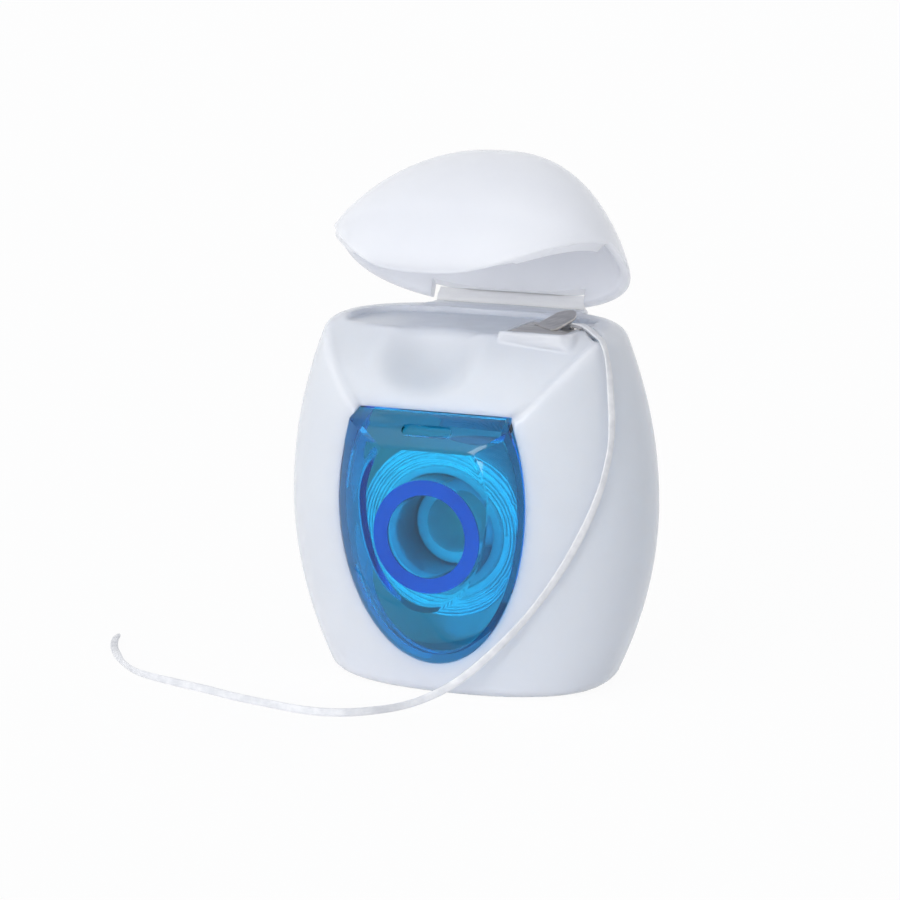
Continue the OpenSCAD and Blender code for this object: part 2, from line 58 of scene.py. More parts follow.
def add_camera():
    flat = math.cos(ELEVATION)
    back = Vector((math.sin(AZIMUTH) * flat, -math.cos(AZIMUTH) * flat, math.sin(ELEVATION)))
    lens = bpy.data.cameras.new("photo_camera")
    lens.lens, lens.sensor_width = FOCAL_LENGTH, SENSOR_WIDTH
    lens.clip_start, lens.clip_end = 0.01, 20
    camera = bpy.data.objects.new("photo_camera", lens)
    scene.collection.objects.link(camera)
    camera.location = TARGET + back * DISTANCE
    camera.rotation_mode = "QUATERNION"
    camera.rotation_quaternion = (-back).to_track_quat("-Z", "Y")
    scene.camera = camera


add_camera()


# Materials.
def material(name, **values):
    m = bpy.data.materials.new(name)
    m.use_nodes = True
    shader = m.node_tree.nodes["Principled BSDF"]
    for k, v in values.items():
        shader.inputs[k.replace("_", " ")].default_value = v
    return m, m.node_tree, shader


def node(tree, kind, **values):
    n = tree.nodes.new(kind)
    for k, v in values.items():
        if k in n.inputs:
            n.inputs[k].default_value = v
        else:
            setattr(n, k, v)
    return n


def noise(tree, scale, detail, stretch=(1, 1, 1)):
    place = node(tree, "ShaderNodeTexCoord")
    mapping = node(tree, "ShaderNodeMapping")
    mapping.inputs["Scale"].default_value = stretch
    n = node(tree, "ShaderNodeTexNoise", Scale=scale, Detail=detail)
    tree.links.new(place.outputs["Object"], mapping.inputs["Vector"])
    tree.links.new(mapping.outputs["Vector"], n.inputs["Vector"])
    return n.outputs["Fac"]


def ramp(tree, source, low, high, start=0.35, end=0.65):
    r = node(tree, "ShaderNodeValToRGB")
    first, last = r.color_ramp.elements[0], r.color_ramp.elements[1]
    first.position, last.position = start, end
    first.color, last.color = (*low, 1), (*high, 1)
    tree.links.new(source, r.inputs["Fac"])
    return r.outputs["Color"]


def spread(tree, source, low, high):
    r = node(tree, "ShaderNodeMapRange")
    r.inputs["To Min"].default_value, r.inputs["To Max"].default_value = low, high
    tree.links.new(source, r.inputs["Value"])
    return r.outputs["Result"]


def bump(tree, shader, source, strength, distance):
    b = node(tree, "ShaderNodeBump", Strength=strength, Distance=distance)
    tree.links.new(source, b.inputs["Height"])
    tree.links.new(b.outputs["Normal"], shader.inputs["Normal"])


def show_mix(tree, share, first, second, output):
    """Shows the first shader on the output, and the second as far as the share goes."""
    mix = node(tree, "ShaderNodeMixShader")
    tree.links.new(share, mix.inputs["Fac"])
    tree.links.new(first, mix.inputs[1])
    tree.links.new(second, mix.inputs[2])
    tree.links.new(mix.outputs["Shader"], output.inputs["Surface"])


def background_rays(tree):
    """1 for rays that show the background: the camera's, and those off gloss and through clear plastic."""
    path = node(tree, "ShaderNodeLightPath")
    two = node(tree, "ShaderNodeMath", operation="MAXIMUM")
    three = node(tree, "ShaderNodeMath", operation="MAXIMUM")
    tree.links.new(path.outputs["Is Camera Ray"], two.inputs[0])
    tree.links.new(path.outputs["Is Glossy Ray"], two.inputs[1])
    tree.links.new(two.outputs[0], three.inputs[0])
    tree.links.new(path.outputs["Is Transmission Ray"], three.inputs[1])
    return three.outputs[0]


def moulded_white(name, low, high, rough):
    m, t, b = material(name, Roughness=rough, IOR=1.5)
    b.inputs["Subsurface Weight"].default_value = 0.85
    b.inputs["Subsurface Radius"].default_value = (1.0, 0.98, 0.95)
    b.inputs["Subsurface Scale"].default_value = 0.006
    t.links.new(ramp(t, noise(t, scale=90, detail=2), low, high), b.inputs["Base Color"])
    t.links.new(spread(t, noise(t, scale=350, detail=3), rough - 0.05, rough + 0.06), b.inputs["Roughness"])
    bump(t, b, noise(t, scale=2600, detail=2), strength=0.05, distance=0.00002)
    return m


def tinted(name, density):
    """Clear blue plastic, whose colour deepens with its thickness."""
    m, t, b = material(name, Roughness=0.02, IOR=1.47)
    b.inputs["Transmission Weight"].default_value = 1.0
    b.inputs["Base Color"].default_value = (0.9, 0.97, 1.0, 1)
    bump(t, b, noise(t, scale=140, detail=2), strength=0.12, distance=0.00003)
    shade = node(t, "ShaderNodeBsdfTransparent", Color=(0.85, 0.97, 1.0, 1))
    path = node(t, "ShaderNodeLightPath")
    out = t.nodes["Material Output"]
    show_mix(t, path.outputs["Is Shadow Ray"], b.outputs["BSDF"], shade.outputs["BSDF"], out)
    body = node(t, "ShaderNodeVolumeAbsorption", Color=(0.0, 0.925, 0.9965, 1), Density=density)
    t.links.new(body.outputs["Volume"], out.inputs["Volume"])
    return m


def deep_blue(name):
    """The tube's front end, which looks darker than the cover because it is seen along the whole tube."""
    m, t, b = material(name, Roughness=0.15, IOR=1.36)
    b.inputs["Transmission Weight"].default_value = 0.2
    blue = ramp(t, noise(t, scale=60, detail=2), (0.0, 0.085, 0.46), (0.0, 0.125, 0.56))
    t.links.new(blue, b.inputs["Base Color"])
    bump(t, b, noise(t, scale=400, detail=2), strength=0.05, distance=0.00002)
    return m


def waxed(name, low, high):
    m, t, b = material(name, Roughness=0.5, IOR=1.45)
    b.inputs["Sheen Weight"].default_value = 0.25
    b.inputs["Sheen Roughness"].default_value = 0.4
    t.links.new(ramp(t, noise(t, scale=700, detail=3), low, high), b.inputs["Base Color"])
    t.links.new(spread(t, noise(t, scale=500, detail=2), 0.42, 0.62), b.inputs["Roughness"])
    bump(t, b, noise(t, scale=5200, detail=4), strength=0.35, distance=0.00004)
    return m


def brushed(name):
    """Steel with fine lines along X."""
    m, t, b = material(name, Metallic=1.0, Roughness=0.3)
    lines = noise(t, scale=1500, detail=4, stretch=(0.06, 1, 1))
    grey = ramp(t, lines, (0.40, 0.388, 0.385), (0.6, 0.578, 0.565), 0.3, 0.7)
    t.links.new(grey, b.inputs["Base Color"])
    rough = noise(t, scale=2200, detail=3, stretch=(0.05, 1, 1))
    t.links.new(spread(t, rough, 0.26, 0.42), b.inputs["Roughness"])
    bump(t, b, noise(t, scale=4000, detail=2, stretch=(0.04, 1, 1)), strength=0.12, distance=0.00001)
    return m


WHITE = moulded_white("white_plastic", (0.80, 0.825, 0.90), (0.825, 0.85, 0.92), 0.24)
FILM = moulded_white("film_plastic", (0.86, 0.86, 0.86), (0.89, 0.89, 0.885), 0.35)
BOBBIN = moulded_white("bobbin_plastic", (0.76, 0.77, 0.79), (0.8, 0.81, 0.83), 0.4)
BLUE = tinted("blue_clear_plastic", 2400.0)
BLUE_TUBE = tinted("blue_clear_tube", 700.0)
HUB_BLUE = deep_blue("blue_tube_end")
FLOSS = waxed("waxed_floss", (0.70, 0.71, 0.735), (0.81, 0.815, 0.83))
PACK = waxed("wound_floss", (0.74, 0.76, 0.77), (0.86, 0.87, 0.87))
STEEL = brushed("stamped_steel")

# Mesh helpers. Points are in millimetres. Angles over which an edge stays sharp are in degrees.
SHELL_SHARP, COVER_SHARP, LATHE_SHARP, STEEL_SHARP, PLATE_SHARP = 50, 28, 40, 40, 20
# The container's surface net is the only mesh with more faces than this, and already looks outward.
TURNED_FACES = 40000


def turned_out(points, faces):
    """The faces of a closed mesh, all turned so that they look outward."""
    p = np.asarray(points, float)
    volume = 0.0
    for f in faces:
        a = p[f[0]]
        for i in range(1, len(f) - 1):
            volume += np.dot(a, np.cross(p[f[i]], p[f[i + 1]]))
    return faces if volume > 0 else [tuple(f)[::-1] for f in faces]


def add_mesh(name, points, faces, mat, sharp=None, smooth=True):
    if len(faces) < TURNED_FACES:
        faces = turned_out(points, faces)
    mesh = bpy.data.meshes.new(name)
    corners = [tuple(p) for p in np.asarray(points, float) * MM]
    mesh.from_pydata(corners, [], [tuple(int(i) for i in f) for f in faces])
    mesh.validate()
    mesh.update()
    if smooth:
        mesh.shade_smooth()
        if sharp is not None:
            mesh.set_sharp_from_angle(angle=math.radians(sharp))
    obj = bpy.data.objects.new(name, mesh)
    scene.collection.objects.link(obj)
    obj.data.materials.append(mat)
    return obj


def apply_modifiers(obj, sharp):
    graph = bpy.context.evaluated_depsgraph_get()
    done = bpy.data.meshes.new_from_object(obj.evaluated_get(graph))
    obj.modifiers.clear()
    obj.data = done
    obj.data.shade_smooth()
    obj.data.set_sharp_from_angle(angle=math.radians(sharp))


def cut(obj, tool, sharp):
    """Takes the tool's room out of the object, and removes the tool."""
    m = obj.modifiers.new("cut", "BOOLEAN")
    m.operation, m.object, m.solver = "DIFFERENCE", tool, "EXACT"
    apply_modifiers(obj, sharp)
    bpy.data.objects.remove(tool)


def closed_loft(rings, n):
    """Faces of a loft through rings of n points each, with both ends closed."""
    out = []
    for k in range(rings - 1):
        for i in range(n):
            j = (i + 1) % n
            out.append((k * n + i, k * n + j, (k + 1) * n + j, (k + 1) * n + i))
    return out + [tuple(range(n))[::-1], tuple(range((rings - 1) * n, rings * n))]


def prism(name, outline, y0, y1, mat):
    """Closed prism along Y from an outline in (x, z)."""
    pts = [(x, y0, z) for x, z in outline] + [(x, y1, z) for x, z in outline]
    return add_mesh(name, pts, closed_loft(2, len(outline)), mat, smooth=False)


def upright_prism(name, outline, z0, z1, mat):
    """Closed prism along Z from an outline in (x, y)."""
    pts = [(x, y, z0) for x, y in outline] + [(x, y, z1) for x, y in outline]
    return add_mesh(name, pts, closed_loft(2, len(outline)), mat, smooth=False)


def box(name, low, high):
    """Block between two corners."""
    x0, y0, z0 = low
    x1, y1, z1 = high
    return prism(name, [(x0, z0), (x1, z0), (x1, z1), (x0, z1)], y0, y1, WHITE)


def lathe(name, profile, mat, around=96):
    """Ring round the spool's axis from a closed profile of (radius, y)."""
    n = len(profile)
    pts, faces = [], []
    for i in range(around):
        a = 2 * math.pi * i / around
        pts += [(r * math.cos(a), y, AXIS_Z + r * math.sin(a)) for r, y in profile]
    for i in range(around):
        following = ((i + 1) % around) * n
        for k in range(n):
            j = (k + 1) % n
            faces.append((i * n + k, i * n + j, following + j, following + k))
    return add_mesh(name, pts, faces, mat, LATHE_SHARP)


def path_frame(path, up):
    """The path's points, with the directions across it and out of it at each."""
    path = np.asarray(path, float)
    d = np.gradient(path, axis=0)
    d /= np.linalg.norm(d, axis=1, keepdims=True)
    side = np.cross(d, up)
    side /= np.linalg.norm(side, axis=1, keepdims=True)
    return path, side, np.cross(side, d)


# How wide the first and second ring from a ribbon's end are.
ROUNDED_END = (0.35, 0.8)


def ribbon(name, path, up, section, mat, twist=None):
    """Sweeps a closed section of (across, out) along a path, with rounded ends."""
    path, side, top = path_frame(path, up)
    sec = np.asarray(section, float)
    pts = []
    for i in range(len(path)):
        end = min(i, len(path) - 1 - i)
        k = ROUNDED_END[end] if end < len(ROUNDED_END) else 1.0
        s, t = side[i], top[i]
        if twist is not None:
            c, w = math.cos(twist[i]), math.sin(twist[i])
            s, t = s * c + t * w, t * c - s * w
        pts.append(path[i] + (sec[:, :1] * s + sec[:, 1:] * t) * k)
    return add_mesh(name, np.concatenate(pts), closed_loft(len(path), len(section)), mat)


def smooth_path(points, per):
    """Catmull-Rom curve through the points, with the given number of steps from each to the next."""
    p = np.vstack([2 * points[0] - points[1], points, 2 * points[-1] - points[-2]])
    out = []
    for i in range(len(points) - 1):
        a, b, c, d = p[i:i + 4]
        for k in range(per):
            s = k / per
            out.append(0.5 * (2 * b + (c - a) * s + (2 * a - 5 * b + 4 * c - d) * s * s
                              + (3 * b - a - 3 * c + d) * s ** 3))
    return np.array(out + [points[-1]])


def ease(t):
    """0 to 1 with a soft start and end."""
    t = np.clip(t, 0, 1)
    return t * t * (3 - 2 * t)


# Rounded solids as distance fields, which are negative inside.
def both(a, b, r):
    """Inside a and b, with a rounded edge."""
    u, v = np.maximum(a + r, 0), np.maximum(b + r, 0)
    return np.minimum(-r, np.maximum(a, b)) + np.sqrt(u * u + v * v)


def either(a, b, r):
    """Inside a or b, with a rounded corner between them."""
    u, v = np.maximum(r - a, 0), np.maximum(r - b, 0)
    return np.maximum(r, np.minimum(a, b)) - np.sqrt(u * u + v * v)


def less(a, b, r):
    """Inside a and outside b, with a rounded edge."""
    return both(a, -b, r)


def steep(f, *p):
    """A field divided by how fast it changes, so that it measures distance."""
    h = 0.01
    v = f(*p)
    g = 0
    for k in range(len(p)):
        q = list(p)
        q[k] = q[k] + h
        g = g + ((f(*q) - v) / h) ** 2
    return v / np.sqrt(np.maximum(g, 1e-4))


def lengthwise(values, axis):
    """The values, shaped to run along one axis of a grid."""
    return values.reshape([-1 if o == axis else 1 for o in range(3)])


def part_of(axis, along, across):
    """Index of a part of a grid, with one range along the axis and another along the other two."""
    out = [across] * 3
    out[axis] = along
    return tuple(out)


def crossings(v, axes, axis):
    """Where the field is zero on the grid's edges along one axis, and which of them it is zero on."""
    a = v[part_of(axis, slice(0, -1), slice(None))]
    b = v[part_of(axis, slice(1, None), slice(None))]
    crosses = (a < 0) != (b < 0)
    t = np.where(crosses, a / np.where(crosses, a - b, 1), 0)
    point = np.zeros(a.shape + (3,))
    for o in range(3):
        point[..., o] = lengthwise(axes[o][:-1] if o == axis else axes[o], o)
    point[..., axis] += t * lengthwise(np.diff(axes[axis]), axis)
    return point, crosses


def net_points(v, axes):
    """A point in each cell that the surface passes, at the mean of its crossings, and the cells' numbers."""
    shape = tuple(s - 1 for s in v.shape)
    total = np.zeros(shape + (3,))
    count = np.zeros(shape)
    for axis in range(3):
        point, crosses = crossings(v, axes, axis)
        first, second = [o for o in range(3) if o != axis]
        for i in (0, 1):
            for j in (0, 1):
                part = [slice(None)] * 3
                part[first] = slice(i, i + shape[first])
                part[second] = slice(j, j + shape[second])
                here = crosses[tuple(part)]
                total += point[tuple(part)] * here[..., None]
                count += here
    active = count > 0
    index = np.full(shape, -1, int)
    index[active] = np.arange(active.sum())
    return total[active] / count[active][:, None], index


def net_faces(inside, index):
    """A face round each edge of the grid that has one end inside, looking outward."""
    faces = []
    for axis in range(3):
        o1, o2 = [(1, 2), (2, 0), (0, 1)][axis]
        a = inside[part_of(axis, slice(0, -1), slice(1, -1))]
        b = inside[part_of(axis, slice(1, None), slice(1, -1))]
        where = np.argwhere(a != b)
        corners = []
        for d1, d2 in ((0, 0), (1, 0), (1, 1), (0, 1)):
            w = where.copy()
            w[:, o1] += d1
            w[:, o2] += d2
            corners.append(index[w[:, 0], w[:, 1], w[:, 2]])
        quad = np.stack(corners, 1)
        out = a[a != b]
        quad[~out] = quad[~out][:, ::-1]
        faces.append(quad)
    return np.concatenate(faces)


def settled(field, points):
    """The points, moved onto the field's surface in a few short steps."""
    h = 0.002
    rounds, furthest = 4, 0.25
    ways = np.eye(3) * h
    for _ in range(rounds):
        f = field(*points.T)
        g = np.stack([field(*(points + w).T) - field(*(points - w).T) for w in ways], 1) / (2 * h)
        move = -g * (f / np.maximum((g * g).sum(1), 1e-3))[:, None]
        size = np.linalg.norm(move, axis=1, keepdims=True)
        points = points + move * np.minimum(1, furthest / np.maximum(size, NEAR_ZERO))
    return points


def net(field, *axes):
    """Surface net of a field's zero: its points and faces."""
    v = field(*np.meshgrid(*axes, indexing="ij"))
    points, index = net_points(v, axes)
    return settled(field, points), net_faces(v < 0, index)


def grid_line(*runs):
    """Grid positions from runs of (start, end, spacing)."""
    out = [np.arange(a, b - s * 0.25, s) for a, b, s in runs]
    return np.concatenate(out + [[runs[-1][1]]])


# Sizes, repeated from the part's source, in millimetres.
RIM_Z, BELLY_Z, POWER, WALL = 50.0, 25.0, 2.3, 1.5
WIDTHS, DEPTHS = (52.0, 39.4, 41.2), (33.0, 26.0, 26.4)
SLOPE_Z, SLOPE_Y, CREST_Y, CREST_SWEEP = 39.15, 13.1, 7.4, 4.85
SLOPE_FOOT_W, SLOPE_CREST_W = 22.4, 41.4
RECESS_Z, RECESS_W, RECESS_BACK = 49.2, 34.4, 7.2
AXIS_Z, HUB_R, HUB_BORE_R = 22.6, 7.75, 5.7
HINGE_Y, HINGE_Z, LID_OPEN = 12.2, 50.9, math.radians(40)
PLATE_X, PLATE_Y, PLATE_W, PLATE_L, PLATE_T = 12.0, 2.9, 8.2, 8.8, 0.35
BOSS_Z, PLATE_Z = 49.8, 49.7
LEDGE_W, LEDGE_Z, LEDGE_Y, COVER_T, FACE_Y = 23.4, 37.75, 15.6, 1.5, 17.35

# More of the container's sizes. The scoop is a little smaller and higher than in the part's source.
SCOOP_R, SCOOP_DEPTH, SCOOP_X, SCOOP_Z = 10.0, 2.6, -2.9, 47.5
RECESS_POWER = 2.6
SPIGOT_R, SPIGOT_Y, SPIGOT_BORE_R, SPIGOT_BORE_Y = 5.5, 8.9, 4.0, 7.4
BOSS_EDGE, BOSS_CHAMFER, BOSS_SLANT, BOSS_DEEP = 1, 1.2, 1.4, 5
LAND_HALF_W, LAND_FRONT_Y, LAND_BACK_Y, LAND_LOW_Z, LAND_EDGE_Z = 11.55, 8.7, 12.7, 47, 49.2
LAND_SLANT_Y, LAND_SLANT_Z = 2.2, 1.4
GROOVE_X, GROOVE_Y, GROOVE_Z, GROOVE_R, GROOVE_HALF_L = 19.3, -3.9, 49.35, 0.8, 4
GROOVE_TURN = math.radians(-36)
SLOPE_SPREAD, SLOPE_BOW, SLOPE_DEEP, RECESS_FRONT = 0.82, 1.5, 2.5, 9
RIM_ROUND, BASE_ROUND, SCOOP_ROUND, GROOVE_ROUND = 2.0, 1.75, 1.3, 0.2
SLOPE_ROUND, SLOPE_CORNER_ROUND, RECESS_ROUND, RECESS_CORNER_ROUND = 0.8, 0.6, 0.25, 0.35
SPIGOT_ROUND, SPIGOT_FOOT_ROUND, SPIGOT_BORE_ROUND = 0.25, 0.3, 0.3
BOSS_SIDE_ROUND, BOSS_TOP_ROUND, BOSS_UNDER_ROUND, BOSS_FOOT_ROUND = 0.3, 0.25, 0.4, 0.45
LAND_BACK_ROUND, LAND_SIDE_ROUND, LAND_UNDER_ROUND, LAND_FOOT_ROUND = 0.15, 0.2, 0.3, 0.35
# Spacing of the container's grid, wide over its plain parts and close round the cutter and the rim.
COARSE, FINE = 0.62, 0.29


# Container.
def swell(z, mid, low, high):
    """Half of a width that is largest at the belly."""
    z = np.clip(z, -2, 53)
    below = mid - (mid - low) * ((BELLY_Z - z) / BELLY_Z) ** 2
    above = mid - (mid - high) * ((z - BELLY_Z) / (RIM_Z - BELLY_Z)) ** 2
    return np.where(z < BELLY_Z, below, above) / 2


def swell_lean(z, mid, low, high):
    """How fast that half width grows with height."""
    z = np.clip(z, -2, 53)
    return np.where(z < BELLY_Z, (mid - low) * (BELLY_Z - z) / BELLY_Z ** 2,
                    -(mid - high) * (z - BELLY_Z) / (RIM_Z - BELLY_Z) ** 2)


def half_w(z):
    return swell(z, *WIDTHS)


def half_d(z):
    return swell(z, *DEPTHS)


def side_of_barrel(x, y, z):
    """Distance from the barrel's side wall."""
    tiny = 1e-6
    a, b = half_w(z), half_d(z)
    u, v = np.abs(x) / a, np.abs(y) / b
    q = (u ** POWER + v ** POWER) ** (1 / POWER) + tiny
    gx = q ** (1 - POWER) * u ** (POWER - 1) / a
    gy = q ** (1 - POWER) * v ** (POWER - 1) / b
    g = np.sqrt(gx * gx + gy * gy) + tiny
    lean = (gx * swell_lean(z, *WIDTHS) + gy * swell_lean(z, *DEPTHS)) / g
    return (q - 1) / g / np.sqrt(1 + lean * lean)


def skin_y(x, z):
    return half_d(z) * np.maximum(0, 1 - (np.abs(x) / half_w(z)) ** POWER) ** (1 / POWER)


def up_slope(z):
    """0 at the slope's foot and 1 at the rim."""
    return np.clip((z - SLOPE_Z) / (RIM_Z - SLOPE_Z), 0, 2)


def slope_half_w(z):
    return (SLOPE_FOOT_W + (SLOPE_CREST_W - SLOPE_FOOT_W) * up_slope(z) ** SLOPE_SPREAD) / 2


def slope_face_y(x, z):
    crest = CREST_Y - CREST_SWEEP * (x / (SLOPE_CREST_W / 2)) ** 2
    return SLOPE_Y - (SLOPE_Y - crest) * up_slope(z) ** SLOPE_BOW


def behind_slope(x, y, z):
    return y + slope_face_y(x, z)


def beside_slope(x, z):
    return np.abs(x) - slope_half_w(z)


def outside_recess(x, y):
    across, back = np.abs(x) / (RECESS_W / 2), np.maximum(y, 0) / RECESS_BACK
    return across ** RECESS_POWER + back ** RECESS_POWER - 1


def seat(x, y, z):
    """Room that the lid's seat takes from the barrel: the slope, then the recess."""
    front = both(steep(behind_slope, x, y, z), steep(beside_slope, x, z), SLOPE_CORNER_ROUND)
    recess = both(RECESS_Z - z, steep(outside_recess, x, y), RECESS_CORNER_ROUND)
    return np.maximum(front, SLOPE_Z - SLOPE_DEEP - z), np.maximum(recess, -y - RECESS_FRONT)


SCOOP_TILT = math.atan2(SLOPE_Y - CREST_Y, RIM_Z - SLOPE_Z)
SCOOP_LIFT = SCOOP_R - SCOOP_DEPTH
SCOOP_AT = (SCOOP_X, -float(slope_face_y(SCOOP_X, SCOOP_Z)) - SCOOP_LIFT * math.cos(SCOOP_TILT),
            SCOOP_Z + SCOOP_LIFT * math.sin(SCOOP_TILT))


def scoop(x, y, z):
    """The ball that hollows the finger scoop out of the slope."""
    return np.sqrt((x - SCOOP_AT[0]) ** 2 + (y - SCOOP_AT[1]) ** 2 + (z - SCOOP_AT[2]) ** 2) - SCOOP_R


def boss(x, y, z):
    """The block under the cutter, with its front right corner taken off."""
    side, front = np.abs(x - PLATE_X) - PLATE_W / 2 - BOSS_EDGE, -y - PLATE_Y - PLATE_L / 2 - BOSS_EDGE
    ends = both(side, front, BOSS_SIDE_ROUND)
    corner_at = PLATE_X + PLATE_W / 2 + BOSS_EDGE + PLATE_Y + PLATE_L / 2 + BOSS_EDGE - BOSS_CHAMFER
    ends = both(ends, (x - y - corner_at) / math.sqrt(2), BOSS_SIDE_ROUND)
    ends = np.maximum(ends, y + PLATE_Y - PLATE_L / 2 - BOSS_EDGE)
    under = (-y - z - (PLATE_Y + PLATE_L / 2 + BOSS_EDGE - BOSS_Z + BOSS_SLANT)) / math.sqrt(2)
    ends = both(ends, z - BOSS_Z, BOSS_TOP_ROUND)
    return both(ends, np.maximum(under, BOSS_Z - BOSS_DEEP - z), BOSS_UNDER_ROUND)


def land(x, y, z):
    """The ledge at the back that the film hinge starts from."""
    ends = np.maximum(np.abs(x) - LAND_HALF_W, LAND_FRONT_Y - y)
    edge = LAND_BACK_Y * LAND_SLANT_Y - LAND_EDGE_Z * LAND_SLANT_Z
    under = (y * LAND_SLANT_Y - z * LAND_SLANT_Z - edge) / math.hypot(LAND_SLANT_Y, LAND_SLANT_Z)
    top = both(y - LAND_BACK_Y, z - RIM_Z, LAND_BACK_ROUND)
    return both(both(np.maximum(ends, LAND_LOW_Z - z), top, LAND_SIDE_ROUND), under, LAND_UNDER_ROUND)


def groove(x, y, z):
    """The groove in the rim that the floss runs over."""
    c, s = math.cos(GROOVE_TURN), math.sin(GROOVE_TURN)
    across = (x - GROOVE_X) * s - (y - GROOVE_Y) * c
    along = (x - GROOVE_X) * c + (y - GROOVE_Y) * s
    deep = np.minimum(z - GROOVE_Z, 0)
    return np.maximum(np.sqrt(across ** 2 + deep ** 2) - GROOVE_R, np.abs(along) - GROOVE_HALF_L)


def container_field(x, y, z):
    """The hollow barrel with its seat, scoop, spigot, boss, land and groove."""
    side = side_of_barrel(x, y, z)
    skin = both(both(side, z - RIM_Z, RIM_ROUND), -z, BASE_ROUND)
    front, recess = seat(x, y, z)
    ball = scoop(x, y, z)
    body = less(skin, front, SLOPE_ROUND)
    body = less(body, recess, RECESS_ROUND)
    body = less(body, ball, SCOOP_ROUND)
    hollow = np.maximum(np.maximum(side + WALL, z - RIM_Z + WALL), WALL - z)
    hollow = np.maximum(hollow, -(np.minimum(np.minimum(front, recess), ball) - WALL))
    radius = np.sqrt(x * x + (z - AXIS_Z) ** 2)
    hollow = less(hollow, both(radius - SPIGOT_R, -y - SPIGOT_Y, SPIGOT_ROUND), SPIGOT_FOOT_ROUND)
    body = np.maximum(body, -hollow)
    body = either(body, boss(x, y, z), BOSS_FOOT_ROUND)
    body = either(body, land(x, y, z), LAND_FOOT_ROUND)
    bore = both(radius - SPIGOT_BORE_R, -y - SPIGOT_BORE_Y, SPIGOT_BORE_ROUND)
    return less(less(body, bore, SPIGOT_BORE_ROUND), groove(x, y, z), GROOVE_ROUND)


# Window outlines: widths at the middle and top, then the heights of the foot, middle and top.
WINDOW_MID_Z = 26.7
OPENING = (27.3, 22.4, 4.7, WINDOW_MID_Z, SLOPE_Z - 0.08)
COVER_RIM = (27.3, LEDGE_W, 4.7, WINDOW_MID_Z, LEDGE_Z)
COVER_FACE = (19.1, 14.5, 12.3, 27.2, 35.0)
OUTLINE_STEPS = 64
OPENING_GAP, OPENING_FRONT_Y, OPENING_BACK_Y = 0.08, -30, -6.55


def window_outline(w, top_w, foot_z, mid_z, top_z, inset):
    """Half an ellipse below, with sides that lean in to a level top, as (x, z)."""
    a, b = w / 2 - inset, mid_z - foot_z - inset
    t, h = top_w / 2 - inset, top_z - inset - mid_z
    s = math.pi * np.arange(OUTLINE_STEPS + 1) / OUTLINE_STEPS + math.pi
    m = OUTLINE_STEPS // 3
    out = [(a * math.cos(v), mid_z + b * math.sin(v)) for v in s]
    out += [(a - (a - t) * (i / m) ** 2, mid_z + h * i / m) for i in range(1, m + 1)]
    out += [(t - 2 * t * i / (m - 1), mid_z + h) for i in range(1, m - 1)]
    out += [(-(a - (a - t) * (i / m) ** 2), mid_z + h * i / m) for i in range(m, 0, -1)]
    return np.array(out)


# Cutter's tab, and the exit hole under it.
TAB_TURN, TAB_RISE, TAB_L, TAB_W = math.radians(46), math.radians(25), 5.1, 5.6
TAB_BASE = np.array([PLATE_X - 0.9, -PLATE_Y + 0.2])
TAB_DIR = np.array([math.cos(TAB_TURN), math.sin(TAB_TURN)])
TAB_SIDE = np.array([TAB_DIR[1], -TAB_DIR[0]])
EXIT = TAB_BASE + TAB_DIR * TAB_L * 0.6 + np.array([0.25, -0.45])
EXIT_R, EXIT_STEPS = 0.95, 40
# Heights that the tools cut between: from under the top wall to above the lid's seat.
CUT_LOW_Z, CUT_HIGH_Z = 42, 56
POCKET_GAP = 0.05


def exit_outline():
    turns = [2 * math.pi * i / EXIT_STEPS for i in range(EXIT_STEPS)]
    return [(EXIT[0] + EXIT_R * math.cos(a), EXIT[1] + EXIT_R * math.sin(a)) for a in turns]


def add_container():
    points, faces = net(
        container_field,
        grid_line((-27, 6, COARSE), (6, 18, FINE), (18, 27, COARSE)),
        grid_line((-17.6, -9, COARSE), (-9, 3, FINE), (3, 17.6, COARSE)),
        grid_line((-1, 46.6, COARSE), (46.6, 50.6, FINE)),
    )
    shell = add_mesh("container_moulding", points, faces, WHITE, SHELL_SHARP)
    outline = window_outline(*OPENING, -OPENING_GAP)
    cut(shell, prism("opening", outline, OPENING_FRONT_Y, OPENING_BACK_Y, WHITE), SHELL_SHARP)
    x, y = PLATE_W / 2 + POCKET_GAP, PLATE_L / 2 + POCKET_GAP
    pocket = box("pocket", (PLATE_X - x, -PLATE_Y - y, PLATE_Z - PLATE_T),
                 (PLATE_X + x, -PLATE_Y + y, CUT_HIGH_Z))
    cut(shell, pocket, SHELL_SHARP)
    cut(shell, upright_prism("exit_hole", exit_outline(), CUT_LOW_Z, CUT_HIGH_Z, WHITE), SHELL_SHARP)
    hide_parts("container_shell")
    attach(shell, "container")


add_container()


# Window cover and hub tube.
def rim_ring(inset, back):
    """The cover's outline on the container's skin, which it leaves near the top for the ledge."""
    out = window_outline(*COVER_RIM, inset)
    rise = np.clip((out[:, 1] - WINDOW_MID_Z) / (LEDGE_Z - inset - WINDOW_MID_Z), 0, 1)
    skin = skin_y(out[:, 0], out[:, 1]) + 0.15
    return np.stack([out[:, 0], -(skin + (LEDGE_Y - skin) * rise ** 3) + back, out[:, 1]], 1)


def flat_ring(outline, y):
    return np.stack([outline[:, 0], np.full(len(outline), -y), outline[:, 1]], 1)


def back_ring(inset, y):
    return flat_ring(window_outline(*OPENING, inset), y)


def face_ring(inset, y):
    return flat_ring(window_outline(*COVER_FACE, inset), y)


def between(a, b, t, out):
    """The ring a share t of the way from a to b, moved forward by out."""
    r = a + (b - a) * t
    r[:, 1] -= out
    return r


BEVEL_SWELL = 0.25


